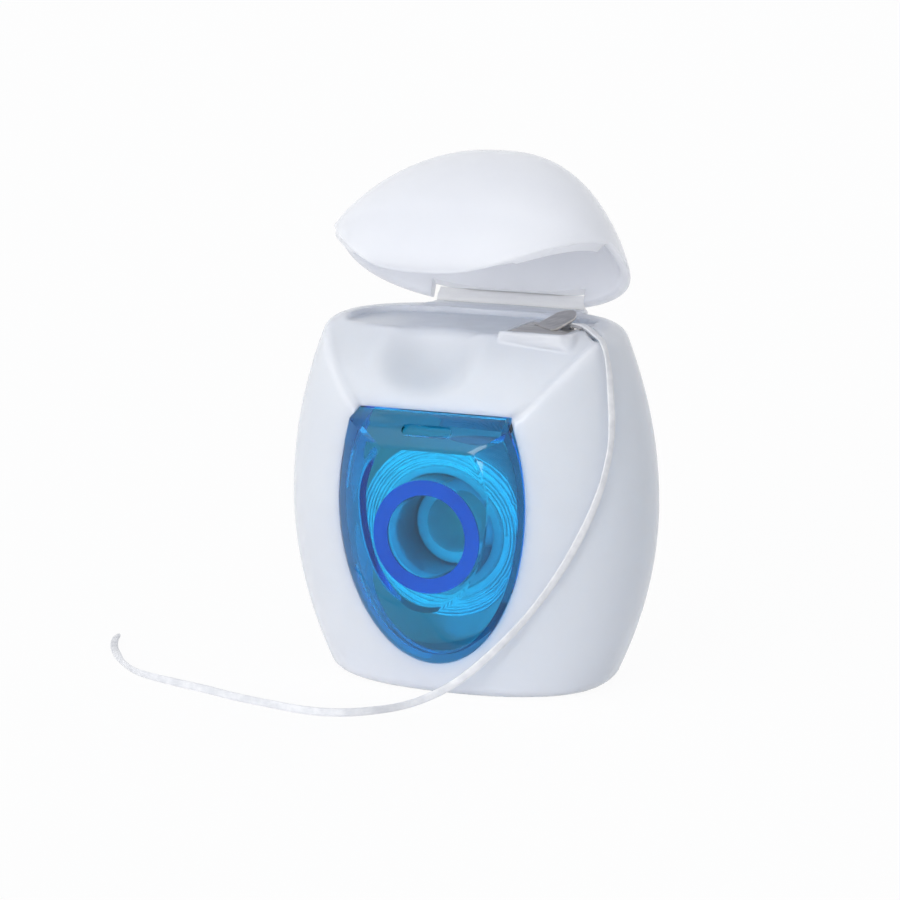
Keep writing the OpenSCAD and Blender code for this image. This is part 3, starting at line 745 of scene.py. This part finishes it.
def cover_outside():
    """Rings of the outer surface: the edge in the opening, the ledge, the bevel and the flat face."""
    skin, face, foot = rim_ring(0, 0), face_ring(0, FACE_Y - 0.04), back_ring(0, SLOPE_Y)
    out = [back_ring(0, SLOPE_Y - COVER_T), back_ring(0, SLOPE_Y - 0.1)]
    out += [between(foot, skin, 0.5, 0), between(skin, foot, 0.06, 0)]
    for t in (0.02, 0.1, 0.25, 0.4, 0.55, 0.7, 0.85, 0.97):
        out.append(between(skin, face, t, BEVEL_SWELL * 4 * t * (1 - t)))
    return out + [face, face_ring(0.12, FACE_Y), face_ring(0.5, FACE_Y)]


def cover_inside():
    """Rings of the inner surface, a wall's thickness in."""
    skin, face = rim_ring(COVER_T, COVER_T), face_ring(COVER_T / 2, FACE_Y - COVER_T)
    foot = back_ring(COVER_T, SLOPE_Y - COVER_T)
    out = [foot, back_ring(COVER_T, SLOPE_Y - COVER_T + 0.2), between(skin, foot, 0.05, 0)]
    out += [between(skin, face, t, 0) for t in (0.03, 0.25, 0.5, 0.75, 0.97)]
    return out + [face, face_ring(COVER_T / 2 + 0.4, FACE_Y - COVER_T)]


HUB_FRONT, HUB_END = -FACE_Y + COVER_T + 0.01, 11.2
HUB_FRONT_T, HUB_TUBE_IN, HUB_ROUND, HUB_STEPS = 0.29, 0.3, 0.2, 128


def add_hub():
    """The clear tube that the bobbin turns on, and the deep blue ring on its front end."""
    hub = lathe("hub_tube", [
        (HUB_BORE_R, HUB_FRONT + HUB_TUBE_IN), (HUB_R, HUB_FRONT + HUB_TUBE_IN),
        (HUB_R, HUB_END - HUB_ROUND), (HUB_R - HUB_ROUND, HUB_END),
        (HUB_BORE_R + HUB_ROUND, HUB_END), (HUB_BORE_R, HUB_END - HUB_ROUND)], BLUE_TUBE, HUB_STEPS)
    hub_front = lathe("hub_front", [
        (HUB_BORE_R, HUB_FRONT), (HUB_R, HUB_FRONT),
        (HUB_R, HUB_FRONT + HUB_FRONT_T), (HUB_BORE_R, HUB_FRONT + HUB_FRONT_T)], HUB_BLUE, HUB_STEPS)
    for o in (hub, hub_front):
        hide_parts("window_cover")
        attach(o, "container")


CATCH_L, CATCH_R, CATCH_SQUASH, CATCH_DEEP = 7.2, 0.65, 1.25, 0.45
CATCH_TILT = math.radians(39)
CATCH_AT = (0, -LEDGE_Y - 0.56, LEDGE_Z - 0.69)


def catch_slot():
    """The tool for the catch's round-ended slot in the cover's ledge."""
    half = (CATCH_L - 2 * CATCH_R) / 2
    ends = [(half, a) for a in range(-90, 91, 15)] + [(-half, a) for a in range(90, 271, 15)]
    outline = [(x + CATCH_R * math.cos(math.radians(a)), CATCH_R * math.sin(math.radians(a)) * CATCH_SQUASH)
               for x, a in ends]
    slot = prism("catch", outline, -3, CATCH_DEEP, BLUE)
    slot.data.transform(Matrix.Translation(Vector(CATCH_AT) * MM) @ Matrix.Rotation(-CATCH_TILT, 4, "X"))
    return slot


def add_window():
    rings = cover_inside()[::-1] + cover_outside()
    faces = [f[::-1] for f in closed_loft(len(rings), len(rings[0]))]
    cover = add_mesh("window_cover_clear", np.concatenate(rings), faces, BLUE, COVER_SHARP)
    add_hub()
    cut(cover, catch_slot(), COVER_SHARP)
    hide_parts("window_cover")
    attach(cover, "container")


add_window()

# Spool.
BOBBIN_FRONT, BOBBIN_LEN, PACK_R = 11.2, 22.0, 11.7
BOBBIN_Y0, BOBBIN_Y1 = -BOBBIN_FRONT, BOBBIN_LEN - BOBBIN_FRONT
BORE_R, BORE_ROUND = HUB_R + 0.08, 0.15
CORE_R, CORE_ROUND = BORE_R + 1.1, 0.2
PACK_Y0, PACK_Y1, PACK_ROUND = BOBBIN_Y0 + 0.5, BOBBIN_Y1 - 0.5, 0.1
PACK_RINGS, PACK_FULL, PACK_STEPS = 12, 0.05, 160
STRAND, FACE_TURNS, SIDE_TURNS, PER_TURN = 0.4, 6, 40, 48


def add_bobbin():
    bobbin = lathe("bobbin_tube", [
        (BORE_R, BOBBIN_Y0 + BORE_ROUND), (BORE_R + BORE_ROUND, BOBBIN_Y0),
        (CORE_R - CORE_ROUND, BOBBIN_Y0), (CORE_R, BOBBIN_Y0 + CORE_ROUND),
        (CORE_R, BOBBIN_Y1 - CORE_ROUND), (CORE_R - CORE_ROUND, BOBBIN_Y1),
        (BORE_R + BORE_ROUND, BOBBIN_Y1), (BORE_R, BOBBIN_Y1 - BORE_ROUND)], BOBBIN)
    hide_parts("bobbin_core")
    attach(bobbin, "spool")


def add_layers():
    """The layers of floss under the outer turns, as one body with a slightly full front face."""
    profile = [(CORE_R, PACK_Y0)]
    for i in range(1, PACK_RINGS):
        r = CORE_R + (PACK_R - CORE_R) * i / PACK_RINGS
        profile.append((r, PACK_Y0 - PACK_FULL * math.sin(math.pi * i / PACK_RINGS)))
    profile += [(PACK_R - PACK_ROUND, PACK_Y0), (PACK_R, PACK_Y0 + PACK_ROUND),
                (PACK_R, PACK_Y1 - PACK_ROUND), (PACK_R - PACK_ROUND, PACK_Y1), (CORE_R, PACK_Y1)]
    pack = lathe("wound_layers", profile, PACK, PACK_STEPS)
    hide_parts("floss_pack")
    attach(pack, "spool")


def turns_path():
    """A spiral on the front face that runs on as a helix round the outside."""
    turn_r = PACK_R + STRAND / 2 + 0.02
    face_y = PACK_Y0 - STRAND / 2 - 0.08
    turns = np.arange(0, (FACE_TURNS + SIDE_TURNS) * PER_TURN + 1) / PER_TURN
    t = turns - FACE_TURNS
    radius = np.where(t < 0, turn_r + t * (turn_r - CORE_R - 0.35) / FACE_TURNS, turn_r)
    wander = 0.09 * np.sin(2 * math.pi * turns * 1.37) + 0.06 * np.sin(2 * math.pi * turns * 0.61 + 1)
    radius = np.where(t < 0, radius + wander * np.clip(-t, 0, 1) * np.clip(FACE_TURNS + t, 0, 1), radius)
    over_edge = (STRAND + 0.12) * np.minimum(1, np.maximum(t, 0) * 5)
    back = np.maximum(t, 0) * (PACK_Y1 - PACK_Y0 - STRAND - 0.2) / (SIDE_TURNS + 0.5)
    along = np.where(t < 0, face_y, face_y + over_edge + back)
    angle = 2 * math.pi * turns
    return np.stack([radius * np.cos(angle), along, AXIS_Z + radius * np.sin(angle)], 1)


def add_outer_turns():
    corners = np.linspace(0, 2 * math.pi, 9)[:-1]
    section = [(STRAND * 0.38 * math.sin(a), STRAND * 0.5 * math.cos(a)) for a in corners]
    winding = ribbon("wound_outer_turns", turns_path(), np.array([0, 1.0, 0]), section, PACK)
    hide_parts("floss_winding")
    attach(winding, "spool")


add_bobbin()
add_layers()
add_outer_turns()

# Free floss. Its route, from the exit hole to the bare end on the table, repeats the part's source.
ROUTE = np.array([
    [13.5, -1, 48.6], [13.6, -1.05, 49.3], [14.15, -1.25, 50.1], [15.2, -1.75, 50.35], [16.7, -2.4, 50.4],
    [18, -3, 50], [19.3, -3.85, 49.4], [20.5, -4.75, 48.85], [21.35, -5.5, 47.7], [21.9, -6, 46.2],
    [22.4, -6.5, 44], [22.9, -7.3, 41.5], [23.3, -8, 39], [23.5, -8.7, 36], [23.3, -9.6, 33],
    [22.8, -10.5, 30], [21.8, -11.6, 26.5], [20.4, -12.7, 23], [18.7, -13.7, 19.5], [16.6, -14.6, 16],
    [14.3, -15.3, 12.8], [12, -16.1, 10], [9.6, -17, 7.4], [7.2, -17.9, 5.1], [4.8, -18.8, 3.2],
    [2.4, -20, 1.8], [0.2, -21.5, 0.9], [-1.6, -23.6, 0.6], [-3.6, -26.1, 0.6], [-6.2, -28.2, 0.6],
    [-9.4, -29.3, 0.6], [-13, -29.3, 0.6], [-16.8, -28.6, 0.6], [-20.6, -27.8, 0.6], [-24.4, -26.8, 0.6],
    [-28.2, -25.5, 0.6], [-32, -24.4, 0.6], [-35.8, -23.3, 0.6], [-39.2, -22.2, 0.6], [-42.4, -20.6, 0.6],
    [-45.4, -18, 0.6], [-48.2, -14.8, 0.6], [-50.9, -11.2, 0.6], [-53.2, -7.2, 0.6], [-54.8, -3.2, 0.6]])
TAPE_W, TAPE_T, TAPE_STEPS, TAPE_CORNERS = 1.1, 0.34, 5, 20
TAPE_FLAT_Z, TAPE_FLAT_RISE, TAPE_FLAT_END, TAPE_FLAT_SHARE = 46, 3.5, 0.9, 0.07
LEAD_X = PACK_R + 2.15


def tape_section():
    """Flat section with rounded edges and a few fine ridges."""
    out = []
    for a in 2 * math.pi * np.arange(TAPE_CORNERS) / TAPE_CORNERS:
        across = TAPE_W / 2 * np.sign(math.cos(a)) * abs(math.cos(a)) ** 0.8
        out.append((across, TAPE_T / 2 * math.sin(a) * (1 + 0.12 * math.cos(9 * a))))
    return out


def add_tape():
    """The drawn-out floss: flat on the boss and at its end, and facing out from the container between."""
    tape_path = smooth_path(ROUTE, TAPE_STEPS)
    place = np.arange(len(tape_path)) / (len(tape_path) - 1)
    twist = 0.16 * np.sin(2 * math.pi * place * 2.3 + 0.4) + 0.14 * np.sin(2 * math.pi * place * 7.1)
    outward = tape_path * [1, 1, 0]
    outward /= np.linalg.norm(outward, axis=1, keepdims=True)
    on_boss = (tape_path[:, 2:] - TAPE_FLAT_Z) / TAPE_FLAT_RISE
    at_end = (place[:, None] - TAPE_FLAT_END) / TAPE_FLAT_SHARE
    flat = ease(np.clip(on_boss, 0, 1) + np.clip(at_end, 0, 1))
    up = outward * (1 - flat) + np.array([0, 0, 1]) * flat
    tape = ribbon("floss_tape", tape_path, up, tape_section(), FLOSS, twist)
    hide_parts("floss_tail")
    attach(tape, "container")


def add_lead():
    """The floss from the spool's right side up to the exit hole."""
    foot, top = np.array([LEAD_X, 0, AXIS_Z]), ROUTE[0]
    lead_route = np.array([foot, foot + [0, 0, 6], (foot + top) / 2 + [0.1, 0, 0], top - [0, 0, 4], top])
    path = smooth_path(lead_route, TAPE_STEPS)
    lead = ribbon("floss_lead_tape", path, np.array([0, 1.0, 0.1]), tape_section(), FLOSS)
    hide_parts("floss_lead")
    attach(lead, "container")


add_tape()
add_lead()

# Lid, worked out closed and then opened. Its wall is rings of points at the same angles.
TURN_Z, TOP_Z, LID_WALL = 48.0, 66.5, 1.4
LID_OUT_X, LID_OUT_Y = 0.4, 0.8
DOME_CURVE, DOME_LEAN, DOME_POWER = 1.3, 1.1, 2.55
LID_AROUND, LID_UP, LID_CROWD = 240, 48, 1.9
LID_ANGLES = 2 * math.pi * (np.arange(LID_AROUND) + 0.5) / LID_AROUND
LIP_BACK_Z, LIP_FRONT_Z, LIP_SWEEP, LIP_HALF_W, LIP_CURVE = 50.15, 36.3, 13.65, 20.4, 1.9
LIP_TURN_Y, LIP_TURN_L = 4.6, 1.4
LIP_LIFT, LIP_DROP = 0.5, 0.45
LEDGE_ROOM, LEDGE_SLANT, LEDGE_HALF_W = 0.85, 1.57, 12
THINNED, THIN_HALF_W, THIN_SIDE_L, THIN_TOP_Z, THIN_TOP_L = 0.8, 13.8, 1.8, 40.4, 2.0


def dome_top(inset):
    return TOP_Z - inset * 1.05


def dome(z, inset):
    """Points (x, y) of the closed lid's wall at each angle for a height, set in by the inset."""
    low = np.minimum(z, TURN_Z)
    u = np.clip((z - TURN_Z) / (dome_top(inset) - TURN_Z), 0, 1)
    k = np.sqrt(np.maximum(0, 1 - u ** DOME_CURVE))
    p = POWER + (DOME_POWER - POWER) * u
    a, b = (half_w(low) + LID_OUT_X - inset) * k, (half_d(low) + LID_OUT_Y - inset) * k
    cos, sin = np.cos(LID_ANGLES), np.sin(LID_ANGLES)
    x = a * np.sign(cos) * np.abs(cos) ** (2 / p)
    return x, DOME_LEAN * u * u + b * np.sign(sin) * np.abs(sin) ** (2 / p)


def lip_height(x, y):
    """Height of the closed lid's edge: level at the back, and sweeping down to the window in front."""
    front = LIP_FRONT_Z + LIP_SWEEP * np.minimum(np.abs(x) / LIP_HALF_W, 1.0) ** LIP_CURVE
    return LIP_BACK_Z + (front - LIP_BACK_Z) * ease((-y - LIP_TURN_Y) / LIP_TURN_L)


def lip(inset):
    """Height at which the wall meets that edge, found by halving for each angle."""
    lowest, highest, halvings = 34.0, 54.0, 40
    low, high = np.full(LID_AROUND, lowest), np.full(LID_AROUND, highest)
    for _ in range(halvings):
        mid = (low + high) / 2
        above = mid > lip_height(*dome(mid, inset))
        low, high = np.where(above, low, mid), np.where(above, mid, high)
    return (low + high) / 2


def clear_of_ledge(edge, inset):
    """The edge, raised where the window's ledge is under it when the lid is closed."""
    x, y = dome(edge, inset)
    clear = LEDGE_Z + LEDGE_ROOM - LEDGE_SLANT * (-y - LEDGE_Y)
    return np.where((y < 0) & (np.abs(x) < LEDGE_HALF_W), np.maximum(edge, clear), edge)


def inner_inset(z):
    """The wall is thinner inside the front lip, where the window's ledge goes when the lid is closed."""
    x, y = dome(z, LID_WALL)
    across, up = ease((THIN_HALF_W - np.abs(x)) / THIN_SIDE_L), ease((THIN_TOP_Z - z) / THIN_TOP_L)
    return LID_WALL - THINNED * across * up * (y < 0)


def lid_ring(z, inset, into=0.0):
    """A ring of the wall, moved inward by into."""
    x0, y0 = dome(z, inset)
    x1, y1 = dome(z, inset + 0.5)
    d = np.hypot(x1 - x0, y1 - y0) + NEAR_ZERO
    return np.stack([x0 + (x1 - x0) / d * into, y0 + (y1 - y0) / d * into, z], 1)


def wall_rings(edge, inset):
    """Rings from the edge up to the top."""
    top = dome_top(inset)
    out = []
    for i in range(LID_UP + 1):
        s = 1 - (1 - i / LID_UP) ** LID_CROWD
        z = edge + LIP_LIFT + (top - 0.0005 - edge - LIP_LIFT) * s
        out.append(lid_ring(z, inner_inset(z) if inset else 0.0))
    return out


def lip_rings(edge, inset, radius):
    """Rings that round the edge, from the wall down to its lowest line."""
    out = []
    for k in (0.35, 0.7, 1.0):
        a = k * math.pi / 2
        out.append(lid_ring(edge + LIP_LIFT - LIP_DROP * math.sin(a), inset, radius * (1 - math.cos(a))))
    return out


def opened(p):
    """The points, turned with the lid from closed to as open as in the photo."""
    p = np.array(p, float)
    y, z = p[:, 1] - HINGE_Y, p[:, 2] - HINGE_Z
    c, s = math.cos(LID_OPEN), math.sin(LID_OPEN)
    p[:, 1], p[:, 2] = HINGE_Y + y * c + z * s, HINGE_Z - y * s + z * c
    return p


def add_lid():
    outer = clear_of_ledge(lip(0.0), 0.0)
    inner = clear_of_ledge(lip(LID_WALL), LID_WALL - THINNED)
    inset = inner_inset(inner)
    radius = np.minimum(LIP_DROP, inset * 0.42)
    rings = wall_rings(inner, LID_WALL)[::-1] + lip_rings(inner, inset, -radius)
    rings += lip_rings(outer, 0.0, radius)[::-1] + wall_rings(outer, 0.0)
    faces = closed_loft(len(rings), LID_AROUND)
    lid = add_mesh("lid_moulding", opened(np.concatenate(rings)), faces, WHITE, SHELL_SHARP)
    film_room = box("film_room", (-LAND_HALF_W, 8.2, 40), (LAND_HALF_W, 16.2, 52.2))
    placed = opened(np.array([tuple(v.co / MM) for v in film_room.data.vertices]))
    for v, p in zip(film_room.data.vertices, placed):
        v.co = Vector(p) * MM
    cut(lid, film_room, SHELL_SHARP)
    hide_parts("lid")
    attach(lid, "lid")


add_lid()

# Film hinge, from the container's land to the lid's back wall.
LID_BACK_Y = 13.8069
FILM_CUT = HINGE_Z + 1.3
FILM_HALF_W, FILM_COLUMNS = 11.15, 47
FILM_HALF_T, FILM_THICKER = 0.225, 0.06


def lid_back(z, inset):
    """About how far back the closed lid's wall is at its middle."""
    u = (z - TURN_Z) / (dome_top(inset) - TURN_Z)
    return (LID_BACK_Y + LID_OUT_Y - inset) * math.sqrt(1 - u ** DOME_CURVE) + DOME_LEAN * u * u


def film_line(end):
    """The strip's middle line as (y, z): up from the land, then over to the lid."""
    knee_y, knee_z = HINGE_Y + 0.35, RIM_Z + 0.8
    line = np.array([
        [HINGE_Y + 0.15, RIM_Z - 0.15], [HINGE_Y + 0.15, RIM_Z + 0.4], [knee_y, knee_z],
        [(end[0] + knee_y) / 2 + 0.03, (end[1] + knee_z) / 2 - 0.03], end + [0.03, 0.05]])
    return smooth_path(np.column_stack([np.zeros(len(line)), line]), 4)[:, 1:]


def add_film():
    """The strip, thinnest halfway along."""
    mid = (lid_back(FILM_CUT, 0) + lid_back(FILM_CUT, LID_WALL)) / 2
    end = opened(np.array([[0, mid, FILM_CUT]]))[0, 1:]
    line = film_line(end)
    d = np.gradient(line, axis=0)
    d /= np.linalg.norm(d, axis=1, keepdims=True)
    normal = np.stack([-d[:, 1], d[:, 0]], 1)
    thick = FILM_HALF_T + FILM_THICKER * np.cos(2 * math.pi * np.linspace(0, 1, len(line)))
    section = np.vstack([line + normal * thick[:, None], (line - normal * thick[:, None])[::-1]])
    columns = np.linspace(-FILM_HALF_W, FILM_HALF_W, FILM_COLUMNS)
    pts = np.array([(x, y, z) for x in columns for y, z in section])
    film = add_mesh("film_strip", pts, closed_loft(FILM_COLUMNS, len(section)), FILM, SHELL_SHARP)
    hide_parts("living_hinge")
    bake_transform(film)


add_film()

# Cutter: a plate with a toothed hole, and a tab bent up out of it.
HOLE_NEAR, HOLE_FAR, HOLE_GAP, TOOTH_L, TOOTH_HALF_W, TEETH = 0.25, 3.75, 0.1, 0.5, 0.35, 5
TAB_BEND, TAB_LIFT, TAB_ROUND_R, TAB_TIP_HALF_W = 1.2, 0.16, TAB_W / 1.6, 0.25
TAB_ROWS, TAB_COLUMNS = 26, 15
EDGE_BEVEL = 0.05


def on_plate(along, across):
    """Point (x, y) at a distance along the tab's direction and across it."""
    return tuple(TAB_BASE + TAB_DIR * along + TAB_SIDE * across)


def hole_outline():
    w = TAB_W / 2 + HOLE_GAP
    out = [(HOLE_NEAR, -w), (HOLE_FAR, -w)]
    for i in range(TEETH):
        m = -w + 2 * w * (i + 0.5) / TEETH
        out += [(HOLE_FAR, m - TOOTH_HALF_W), (HOLE_FAR + TOOTH_L, m), (HOLE_FAR, m + TOOTH_HALF_W)]
    return [on_plate(a, c) for a, c in out + [(HOLE_FAR, w), (HOLE_NEAR, w)]]


def cutter_plate():
    plate = box("steel_cutter", (PLATE_X - PLATE_W / 2, -PLATE_Y - PLATE_L / 2, PLATE_Z - PLATE_T),
                (PLATE_X + PLATE_W / 2, -PLATE_Y + PLATE_L / 2, PLATE_Z))
    plate.data.materials[0] = STEEL
    cut(plate, upright_prism("hole", hole_outline(), PLATE_Z - 1, PLATE_Z + 2, STEEL), PLATE_SHARP)
    return plate


def tab_row(i):
    """Distance along the plate, height and half width of a row of the tab."""
    s = TAB_L * math.sin(math.pi / 2 * i / (TAB_ROWS - 1))
    past_round = s - (TAB_L - TAB_ROUND_R)
    half = TAB_W / 2
    if past_round > 0:
        half = min(half, math.sqrt(max(0, TAB_ROUND_R ** 2 - past_round ** 2)))
    rise = math.sin(TAB_RISE)
    z = (s - TAB_BEND / 2) * rise if s > TAB_BEND else rise * s * s / (2 * TAB_BEND)
    return s * math.cos(TAB_RISE), z, max(half, TAB_TIP_HALF_W)


def cutter_tab():
    pts, faces = [], []
    n, m = TAB_COLUMNS, TAB_ROWS * TAB_COLUMNS
    for side in (0, 1):
        for i in range(TAB_ROWS):
            along, z, half = tab_row(i)
            height = PLATE_Z - PLATE_T + z + TAB_LIFT + side * PLATE_T
            for k in range(n):
                pts.append((*on_plate(along, -half + 2 * half * k / (n - 1)), height))
    for side in (0, 1):
        for i in range(TAB_ROWS - 1):
            for k in range(n - 1):
                first = side * m + i * n + k
                f = (first, first + 1, first + n + 1, first + n)
                faces.append(f if side == 0 else f[::-1])
    edge = list(range(n)) + [i * n + n - 1 for i in range(1, TAB_ROWS)]
    edge += [(TAB_ROWS - 1) * n + k for k in range(n - 2, -1, -1)]
    edge += [i * n for i in range(TAB_ROWS - 2, 0, -1)]
    for i in range(len(edge)):
        a, b = edge[i], edge[(i + 1) % len(edge)]
        faces.append((b, a, a + m, b + m))
    return add_mesh("steel_tab", pts, faces, STEEL, STEEL_SHARP)


def add_cutter():
    plate, tab = cutter_plate(), cutter_tab()
    for o in (plate, tab):
        b = o.modifiers.new("edge", "BEVEL")
        b.width, b.segments = EDGE_BEVEL * MM, 2
        b.limit_method, b.angle_limit = "ANGLE", math.radians(STEEL_SHARP)
        apply_modifiers(o, STEEL_SHARP)
        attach(o, "container")
    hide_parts("cutter_plate")
    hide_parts("cutter_plate")


add_cutter()


# Floor, world and lamps.
def add_floor():
    """Paper that shows white to the camera, in gloss and through the window, and keeps shadows."""
    floor_mesh = bpy.data.meshes.new("floor")
    floor_mesh.from_pydata([(-3, -3, 0), (3, -3, 0), (3, 3, 0), (-3, 3, 0)], [], [(0, 1, 2, 3)])
    floor = bpy.data.objects.new("floor", floor_mesh)
    scene.collection.objects.link(floor)
    m, t, b = material("floor_paper", Roughness=0.8)
    b.inputs["Base Color"].default_value = (0.93, 0.93, 0.94, 1)
    b.inputs["Specular IOR Level"].default_value = 0.1
    glow = node(t, "ShaderNodeEmission", Color=(1, 1, 1, 1), Strength=1.0)
    share = node(t, "ShaderNodeMath", operation="MULTIPLY")
    share.inputs[1].default_value = 0.94
    t.links.new(background_rays(t), share.inputs[0])
    show_mix(t, share.outputs[0], b.outputs["BSDF"], glow.outputs["Emission"], t.nodes["Material Output"])
    floor.data.materials.append(m)


def add_world():
    world = bpy.data.worlds.new("studio")
    scene.world = world
    world.use_nodes = True
    t = world.node_tree
    light = t.nodes["Background"]
    light.inputs["Color"].default_value = (0.93, 0.95, 1.0, 1)
    light.inputs["Strength"].default_value = 0.54
    white = node(t, "ShaderNodeBackground", Color=(1, 1, 1, 1), Strength=1.0)
    show_mix(t, background_rays(t), light.outputs["Background"], white.outputs["Background"],
             t.nodes["World Output"])


def sun(name, place, strength, angle):
    data = bpy.data.lights.new(name, "SUN")
    data.energy, data.angle = strength, math.radians(angle)
    o = bpy.data.objects.new(name, data)
    scene.collection.objects.link(o)
    o.location = Vector(place)
    o.rotation_mode = "QUATERNION"
    o.rotation_quaternion = (-Vector(place)).to_track_quat("-Z", "Y")


add_floor()
add_world()
sun("key_left", (-0.5, -0.62, 0.5), strength=0.35, angle=45)
sun("front_low", (-0.1, -1.0, 0.13), strength=1.65, angle=35)
sun("top", (0.1, -0.15, 0.8), strength=0.45, angle=60)
